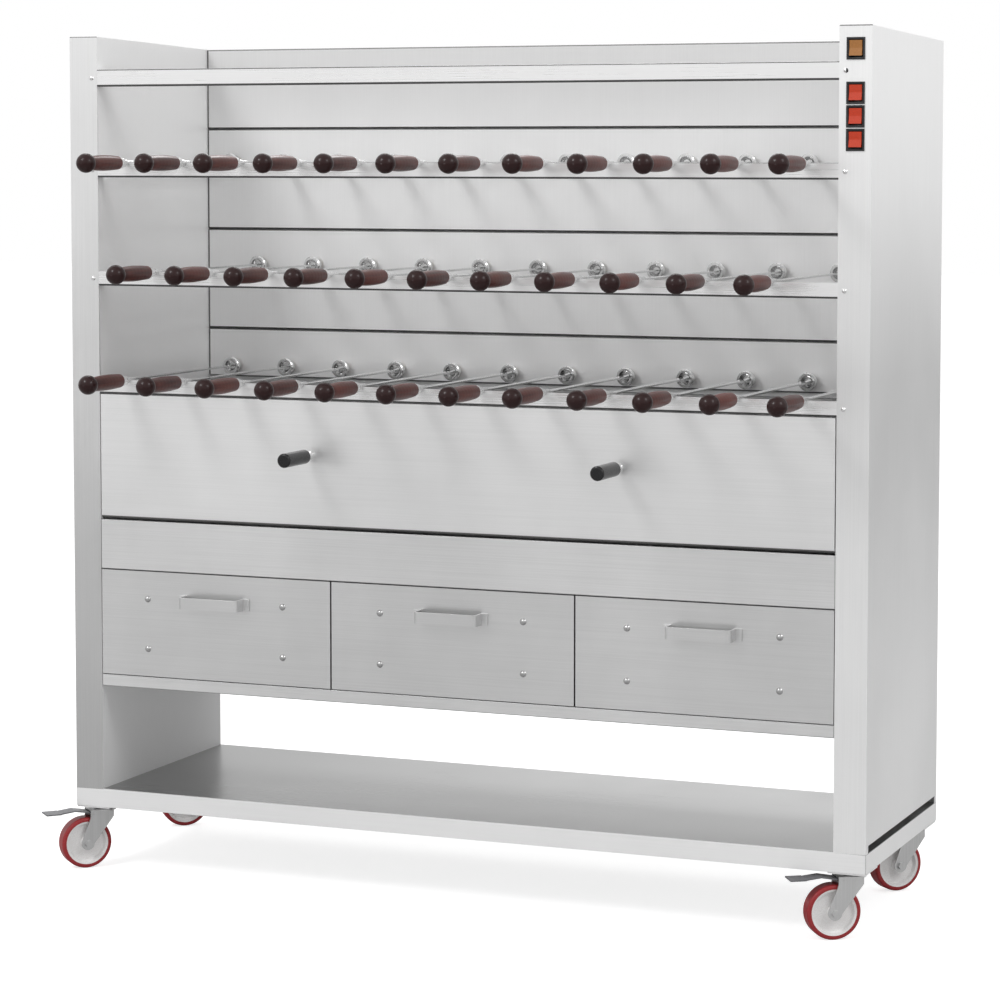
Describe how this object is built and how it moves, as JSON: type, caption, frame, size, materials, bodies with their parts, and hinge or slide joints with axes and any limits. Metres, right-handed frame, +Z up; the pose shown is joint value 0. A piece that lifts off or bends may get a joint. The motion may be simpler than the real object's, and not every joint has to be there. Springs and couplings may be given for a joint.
{
  "type": "electric skewer grill",
  "caption": "Electric skewer grill on castors: chain-driven skewers turn in notched rails over a heater chamber with a drop door, drawers and an open shelf.",
  "frame": {"origin": "on the floor, under the middle of the whole outline with handles and brake pedals", "axes": "+X to the right and +Y to the rear as seen from the front, +Z up"},
  "size_m": [1.661, 0.672, 1.627],
  "materials": {
    "satin_steel": "satin",
    "bright_steel": "bright",
    "door_steel": "bright",
    "drive_steel": "oiled",
    "wood_handled_skewer": "lacquered",
    "amber_rocker": "gloss",
    "red_rocker": "gloss",
    "castor_steel": "zinc plated",
    "castor_wheel": "satin",
    "pedal_grey": "satin"
  },
  "bodies": {
    "cabinet": {"base_frame": "satin_steel", "left_column": "satin_steel", "right_column": "satin_steel", "chamber_lining": "bright_steel", "skewer_rails": "bright_steel", "cabinet_panels": "satin_steel", "row_drives": "drive_steel"},
    "heater_door": {"heater_door": "door_steel"},
    "drawer_left": {"drawer_left": "satin_steel"},
    "drawer_middle": {"drawer_middle": "satin_steel"},
    "drawer_right": {"drawer_right": "satin_steel"},
    "main_rocker": {"main_rocker": "amber_rocker"},
    "top_row_rocker": {"top_row_rocker": "red_rocker"},
    "middle_row_rocker": {"middle_row_rocker": "red_rocker"},
    "lower_row_rocker": {"lower_row_rocker": "red_rocker"},
    "top_skewer_01": {"top_skewer_01": "wood_handled_skewer"},
    "top_skewer_02": {"top_skewer_02": "wood_handled_skewer"},
    "top_skewer_03": {"top_skewer_03": "wood_handled_skewer"},
    "top_skewer_04": {"top_skewer_04": "wood_handled_skewer"},
    "top_skewer_05": {"top_skewer_05": "wood_handled_skewer"},
    "top_skewer_06": {"top_skewer_06": "wood_handled_skewer"},
    "top_skewer_07": {"top_skewer_07": "wood_handled_skewer"},
    "top_skewer_08": {"top_skewer_08": "wood_handled_skewer"},
    "top_skewer_09": {"top_skewer_09": "wood_handled_skewer"},
    "top_skewer_10": {"top_skewer_10": "wood_handled_skewer"},
    "top_skewer_11": {"top_skewer_11": "wood_handled_skewer"},
    "top_skewer_12": {"top_skewer_12": "wood_handled_skewer"},
    "middle_skewer_01": {"middle_skewer_01": "wood_handled_skewer"},
    "middle_skewer_02": {"middle_skewer_02": "wood_handled_skewer"},
    "middle_skewer_03": {"middle_skewer_03": "wood_handled_skewer"},
    "middle_skewer_04": {"middle_skewer_04": "wood_handled_skewer"},
    "middle_skewer_05": {"middle_skewer_05": "wood_handled_skewer"},
    "middle_skewer_06": {"middle_skewer_06": "wood_handled_skewer"},
    "middle_skewer_07": {"middle_skewer_07": "wood_handled_skewer"},
    "middle_skewer_08": {"middle_skewer_08": "wood_handled_skewer"},
    "middle_skewer_09": {"middle_skewer_09": "wood_handled_skewer"},
    "middle_skewer_10": {"middle_skewer_10": "wood_handled_skewer"},
    "middle_skewer_11": {"middle_skewer_11": "wood_handled_skewer"},
    "lower_skewer_01": {"lower_skewer_01": "wood_handled_skewer"},
    "lower_skewer_02": {"lower_skewer_02": "wood_handled_skewer"},
    "lower_skewer_03": {"lower_skewer_03": "wood_handled_skewer"},
    "lower_skewer_04": {"lower_skewer_04": "wood_handled_skewer"},
    "lower_skewer_05": {"lower_skewer_05": "wood_handled_skewer"},
    "lower_skewer_06": {"lower_skewer_06": "wood_handled_skewer"},
    "lower_skewer_07": {"lower_skewer_07": "wood_handled_skewer"},
    "lower_skewer_08": {"lower_skewer_08": "wood_handled_skewer"},
    "lower_skewer_09": {"lower_skewer_09": "wood_handled_skewer"},
    "lower_skewer_10": {"lower_skewer_10": "wood_handled_skewer"},
    "lower_skewer_11": {"lower_skewer_11": "wood_handled_skewer"},
    "lower_skewer_12": {"lower_skewer_12": "wood_handled_skewer"},
    "front_left_fork": {"front_left_fork": "castor_steel"},
    "front_left_wheel": {"front_left_wheel": "castor_wheel"},
    "front_left_pedal": {"front_left_pedal": "pedal_grey"},
    "front_right_fork": {"front_right_fork": "castor_steel"},
    "front_right_wheel": {"front_right_wheel": "castor_wheel"},
    "front_right_pedal": {"front_right_pedal": "pedal_grey"},
    "rear_left_fork": {"rear_left_fork": "castor_steel"},
    "rear_left_wheel": {"rear_left_wheel": "castor_wheel"},
    "rear_right_fork": {"rear_right_fork": "castor_steel"},
    "rear_right_wheel": {"rear_right_wheel": "castor_wheel"}
  },
  "joints": [
    {"name": "heater_door_hinge", "type": "hinge", "parent": "cabinet", "child": "heater_door", "pos_m": [0.03051, -0.155, 0.7035], "axis": [1, 0, 0], "range_deg": [0, 75]},
    {"name": "drawer_left_slide", "type": "slide", "parent": "cabinet", "child": "drawer_left", "axis": [0, -1, 0], "range_m": [0, 0.32]},
    {"name": "drawer_middle_slide", "type": "slide", "parent": "cabinet", "child": "drawer_middle", "axis": [0, -1, 0], "range_m": [0, 0.32]},
    {"name": "drawer_right_slide", "type": "slide", "parent": "cabinet", "child": "drawer_right", "axis": [0, -1, 0], "range_m": [0, 0.32]},
    {"name": "main_rocker_hinge", "type": "hinge", "parent": "cabinet", "child": "main_rocker", "pos_m": [0.80051, -0.159, 1.5855], "axis": [1, 0, 0], "range_deg": [0, 12]},
    {"name": "top_row_rocker_hinge", "type": "hinge", "parent": "cabinet", "child": "top_row_rocker", "pos_m": [0.80051, -0.159, 1.508], "axis": [1, 0, 0], "range_deg": [0, 12]},
    {"name": "middle_row_rocker_hinge", "type": "hinge", "parent": "cabinet", "child": "middle_row_rocker", "pos_m": [0.80051, -0.159, 1.467], "axis": [1, 0, 0], "range_deg": [0, 12]},
    {"name": "lower_row_rocker_hinge", "type": "hinge", "parent": "cabinet", "child": "lower_row_rocker", "pos_m": [0.80051, -0.159, 1.426], "axis": [1, 0, 0], "range_deg": [0, 12]},
    {"name": "top_skewer_01_spin", "type": "hinge", "parent": "cabinet", "child": "top_skewer_01", "pos_m": [-0.64782, -0.164, 1.3845], "axis": [0, 1, 0], "continuous": true},
    {"name": "top_skewer_02_spin", "type": "hinge", "parent": "cabinet", "child": "top_skewer_02", "pos_m": [-0.52449, -0.164, 1.3845], "axis": [0, 1, 0], "continuous": true},
    {"name": "top_skewer_03_spin", "type": "hinge", "parent": "cabinet", "child": "top_skewer_03", "pos_m": [-0.40115, -0.164, 1.3845], "axis": [0, 1, 0], "continuous": true},
    {"name": "top_skewer_04_spin", "type": "hinge", "parent": "cabinet", "child": "top_skewer_04", "pos_m": [-0.27782, -0.164, 1.3845], "axis": [0, 1, 0], "continuous": true},
    {"name": "top_skewer_05_spin", "type": "hinge", "parent": "cabinet", "child": "top_skewer_05", "pos_m": [-0.15449, -0.164, 1.3845], "axis": [0, 1, 0], "continuous": true},
    {"name": "top_skewer_06_spin", "type": "hinge", "parent": "cabinet", "child": "top_skewer_06", "pos_m": [-0.03115, -0.164, 1.3845], "axis": [0, 1, 0], "continuous": true},
    {"name": "top_skewer_07_spin", "type": "hinge", "parent": "cabinet", "child": "top_skewer_07", "pos_m": [0.09218, -0.164, 1.3845], "axis": [0, 1, 0], "continuous": true},
    {"name": "top_skewer_08_spin", "type": "hinge", "parent": "cabinet", "child": "top_skewer_08", "pos_m": [0.21551, -0.164, 1.3845], "axis": [0, 1, 0], "continuous": true},
    {"name": "top_skewer_09_spin", "type": "hinge", "parent": "cabinet", "child": "top_skewer_09", "pos_m": [0.33885, -0.164, 1.3845], "axis": [0, 1, 0], "continuous": true},
    {"name": "top_skewer_10_spin", "type": "hinge", "parent": "cabinet", "child": "top_skewer_10", "pos_m": [0.46218, -0.164, 1.3845], "axis": [0, 1, 0], "continuous": true},
    {"name": "top_skewer_11_spin", "type": "hinge", "parent": "cabinet", "child": "top_skewer_11", "pos_m": [0.58551, -0.164, 1.3845], "axis": [0, 1, 0], "continuous": true},
    {"name": "top_skewer_12_spin", "type": "hinge", "parent": "cabinet", "child": "top_skewer_12", "pos_m": [0.70885, -0.164, 1.3845], "axis": [0, 1, 0], "continuous": true},
    {"name": "middle_skewer_01_spin", "type": "hinge", "parent": "cabinet", "child": "middle_skewer_01", "pos_m": [-0.58615, -0.164, 1.1755], "axis": [0, 1, 0], "continuous": true},
    {"name": "middle_skewer_02_spin", "type": "hinge", "parent": "cabinet", "child": "middle_skewer_02", "pos_m": [-0.46282, -0.164, 1.1755], "axis": [0, 1, 0], "continuous": true},
    {"name": "middle_skewer_03_spin", "type": "hinge", "parent": "cabinet", "child": "middle_skewer_03", "pos_m": [-0.33949, -0.164, 1.1755], "axis": [0, 1, 0], "continuous": true},
    {"name": "middle_skewer_04_spin", "type": "hinge", "parent": "cabinet", "child": "middle_skewer_04", "pos_m": [-0.21615, -0.164, 1.1755], "axis": [0, 1, 0], "continuous": true},
    {"name": "middle_skewer_05_spin", "type": "hinge", "parent": "cabinet", "child": "middle_skewer_05", "pos_m": [-0.09282, -0.164, 1.1755], "axis": [0, 1, 0], "continuous": true},
    {"name": "middle_skewer_06_spin", "type": "hinge", "parent": "cabinet", "child": "middle_skewer_06", "pos_m": [0.03051, -0.164, 1.1755], "axis": [0, 1, 0], "continuous": true},
    {"name": "middle_skewer_07_spin", "type": "hinge", "parent": "cabinet", "child": "middle_skewer_07", "pos_m": [0.15385, -0.164, 1.1755], "axis": [0, 1, 0], "continuous": true},
    {"name": "middle_skewer_08_spin", "type": "hinge", "parent": "cabinet", "child": "middle_skewer_08", "pos_m": [0.27718, -0.164, 1.1755], "axis": [0, 1, 0], "continuous": true},
    {"name": "middle_skewer_09_spin", "type": "hinge", "parent": "cabinet", "child": "middle_skewer_09", "pos_m": [0.40051, -0.164, 1.1755], "axis": [0, 1, 0], "continuous": true},
    {"name": "middle_skewer_10_spin", "type": "hinge", "parent": "cabinet", "child": "middle_skewer_10", "pos_m": [0.52385, -0.164, 1.1755], "axis": [0, 1, 0], "continuous": true},
    {"name": "middle_skewer_11_spin", "type": "hinge", "parent": "cabinet", "child": "middle_skewer_11", "pos_m": [0.64718, -0.164, 1.1755], "axis": [0, 1, 0], "continuous": true},
    {"name": "lower_skewer_01_spin", "type": "hinge", "parent": "cabinet", "child": "lower_skewer_01", "pos_m": [-0.64782, -0.164, 0.9665], "axis": [0, 1, 0], "continuous": true},
    {"name": "lower_skewer_02_spin", "type": "hinge", "parent": "cabinet", "child": "lower_skewer_02", "pos_m": [-0.52449, -0.164, 0.9665], "axis": [0, 1, 0], "continuous": true},
    {"name": "lower_skewer_03_spin", "type": "hinge", "parent": "cabinet", "child": "lower_skewer_03", "pos_m": [-0.40115, -0.164, 0.9665], "axis": [0, 1, 0], "continuous": true},
    {"name": "lower_skewer_04_spin", "type": "hinge", "parent": "cabinet", "child": "lower_skewer_04", "pos_m": [-0.27782, -0.164, 0.9665], "axis": [0, 1, 0], "continuous": true},
    {"name": "lower_skewer_05_spin", "type": "hinge", "parent": "cabinet", "child": "lower_skewer_05", "pos_m": [-0.15449, -0.164, 0.9665], "axis": [0, 1, 0], "continuous": true},
    {"name": "lower_skewer_06_spin", "type": "hinge", "parent": "cabinet", "child": "lower_skewer_06", "pos_m": [-0.03115, -0.164, 0.9665], "axis": [0, 1, 0], "continuous": true},
    {"name": "lower_skewer_07_spin", "type": "hinge", "parent": "cabinet", "child": "lower_skewer_07", "pos_m": [0.09218, -0.164, 0.9665], "axis": [0, 1, 0], "continuous": true},
    {"name": "lower_skewer_08_spin", "type": "hinge", "parent": "cabinet", "child": "lower_skewer_08", "pos_m": [0.21551, -0.164, 0.9665], "axis": [0, 1, 0], "continuous": true},
    {"name": "lower_skewer_09_spin", "type": "hinge", "parent": "cabinet", "child": "lower_skewer_09", "pos_m": [0.33885, -0.164, 0.9665], "axis": [0, 1, 0], "continuous": true},
    {"name": "lower_skewer_10_spin", "type": "hinge", "parent": "cabinet", "child": "lower_skewer_10", "pos_m": [0.46218, -0.164, 0.9665], "axis": [0, 1, 0], "continuous": true},
    {"name": "lower_skewer_11_spin", "type": "hinge", "parent": "cabinet", "child": "lower_skewer_11", "pos_m": [0.58551, -0.164, 0.9665], "axis": [0, 1, 0], "continuous": true},
    {"name": "lower_skewer_12_spin", "type": "hinge", "parent": "cabinet", "child": "lower_skewer_12", "pos_m": [0.70885, -0.164, 0.9665], "axis": [0, 1, 0], "continuous": true},
    {"name": "front_left_swivel", "type": "hinge", "parent": "cabinet", "child": "front_left_fork", "pos_m": [-0.73349, -0.122, 0.11], "axis": [0, 0, 1], "continuous": true},
    {"name": "front_left_roll", "type": "hinge", "parent": "front_left_fork", "child": "front_left_wheel", "pos_m": [-0.75988, -0.14933, 0.05], "axis": [0.7193, -0.6947, 0], "continuous": true},
    {"name": "front_left_brake", "type": "hinge", "parent": "front_left_fork", "child": "front_left_pedal", "pos_m": [-0.75016, -0.13926, 0.1069], "axis": [0.7193, -0.6947, 0], "range_deg": [0, 12]},
    {"name": "front_right_swivel", "type": "hinge", "parent": "cabinet", "child": "front_right_fork", "pos_m": [0.79451, -0.122, 0.11], "axis": [0, 0, 1], "continuous": true},
    {"name": "front_right_roll", "type": "hinge", "parent": "front_right_fork", "child": "front_right_wheel", "pos_m": [0.76264, -0.1427, 0.05], "axis": [0.5446, -0.8387, 0], "continuous": true},
    {"name": "front_right_brake", "type": "hinge", "parent": "front_right_fork", "child": "front_right_pedal", "pos_m": [0.77438, -0.13507, 0.1069], "axis": [0.5446, -0.8387, 0], "range_deg": [0, 12]},
    {"name": "rear_left_swivel", "type": "hinge", "parent": "cabinet", "child": "rear_left_fork", "pos_m": [-0.73349, 0.294, 0.11], "axis": [0, 0, 1], "continuous": true},
    {"name": "rear_left_roll", "type": "hinge", "parent": "rear_left_fork", "child": "rear_left_wheel", "pos_m": [-0.7626, 0.26957, 0.05], "axis": [0.6428, -0.766, 0], "continuous": true},
    {"name": "rear_right_swivel", "type": "hinge", "parent": "cabinet", "child": "rear_right_fork", "pos_m": [0.79451, 0.294, 0.11], "axis": [0, 0, 1], "continuous": true},
    {"name": "rear_right_roll", "type": "hinge", "parent": "rear_right_fork", "child": "rear_right_wheel", "pos_m": [0.76812, 0.26666, 0.05], "axis": [0.7193, -0.6947, 0], "continuous": true}
  ],
  "couplings": [
    {"joint": "top_skewer_01_spin", "follows": "top_skewer_12_spin", "ratio": 1},
    {"joint": "top_skewer_02_spin", "follows": "top_skewer_12_spin", "ratio": 1},
    {"joint": "top_skewer_03_spin", "follows": "top_skewer_12_spin", "ratio": 1},
    {"joint": "top_skewer_04_spin", "follows": "top_skewer_12_spin", "ratio": 1},
    {"joint": "top_skewer_05_spin", "follows": "top_skewer_12_spin", "ratio": 1},
    {"joint": "top_skewer_06_spin", "follows": "top_skewer_12_spin", "ratio": 1},
    {"joint": "top_skewer_07_spin", "follows": "top_skewer_12_spin", "ratio": 1},
    {"joint": "top_skewer_08_spin", "follows": "top_skewer_12_spin", "ratio": 1},
    {"joint": "top_skewer_09_spin", "follows": "top_skewer_12_spin", "ratio": 1},
    {"joint": "top_skewer_10_spin", "follows": "top_skewer_12_spin", "ratio": 1},
    {"joint": "top_skewer_11_spin", "follows": "top_skewer_12_spin", "ratio": 1},
    {"joint": "middle_skewer_01_spin", "follows": "middle_skewer_11_spin", "ratio": 1},
    {"joint": "middle_skewer_02_spin", "follows": "middle_skewer_11_spin", "ratio": 1},
    {"joint": "middle_skewer_03_spin", "follows": "middle_skewer_11_spin", "ratio": 1},
    {"joint": "middle_skewer_04_spin", "follows": "middle_skewer_11_spin", "ratio": 1},
    {"joint": "middle_skewer_05_spin", "follows": "middle_skewer_11_spin", "ratio": 1},
    {"joint": "middle_skewer_06_spin", "follows": "middle_skewer_11_spin", "ratio": 1},
    {"joint": "middle_skewer_07_spin", "follows": "middle_skewer_11_spin", "ratio": 1},
    {"joint": "middle_skewer_08_spin", "follows": "middle_skewer_11_spin", "ratio": 1},
    {"joint": "middle_skewer_09_spin", "follows": "middle_skewer_11_spin", "ratio": 1},
    {"joint": "middle_skewer_10_spin", "follows": "middle_skewer_11_spin", "ratio": 1},
    {"joint": "lower_skewer_01_spin", "follows": "lower_skewer_12_spin", "ratio": 1},
    {"joint": "lower_skewer_02_spin", "follows": "lower_skewer_12_spin", "ratio": 1},
    {"joint": "lower_skewer_03_spin", "follows": "lower_skewer_12_spin", "ratio": 1},
    {"joint": "lower_skewer_04_spin", "follows": "lower_skewer_12_spin", "ratio": 1},
    {"joint": "lower_skewer_05_spin", "follows": "lower_skewer_12_spin", "ratio": 1},
    {"joint": "lower_skewer_06_spin", "follows": "lower_skewer_12_spin", "ratio": 1},
    {"joint": "lower_skewer_07_spin", "follows": "lower_skewer_12_spin", "ratio": 1},
    {"joint": "lower_skewer_08_spin", "follows": "lower_skewer_12_spin", "ratio": 1},
    {"joint": "lower_skewer_09_spin", "follows": "lower_skewer_12_spin", "ratio": 1},
    {"joint": "lower_skewer_10_spin", "follows": "lower_skewer_12_spin", "ratio": 1},
    {"joint": "lower_skewer_11_spin", "follows": "lower_skewer_12_spin", "ratio": 1}
  ]
}
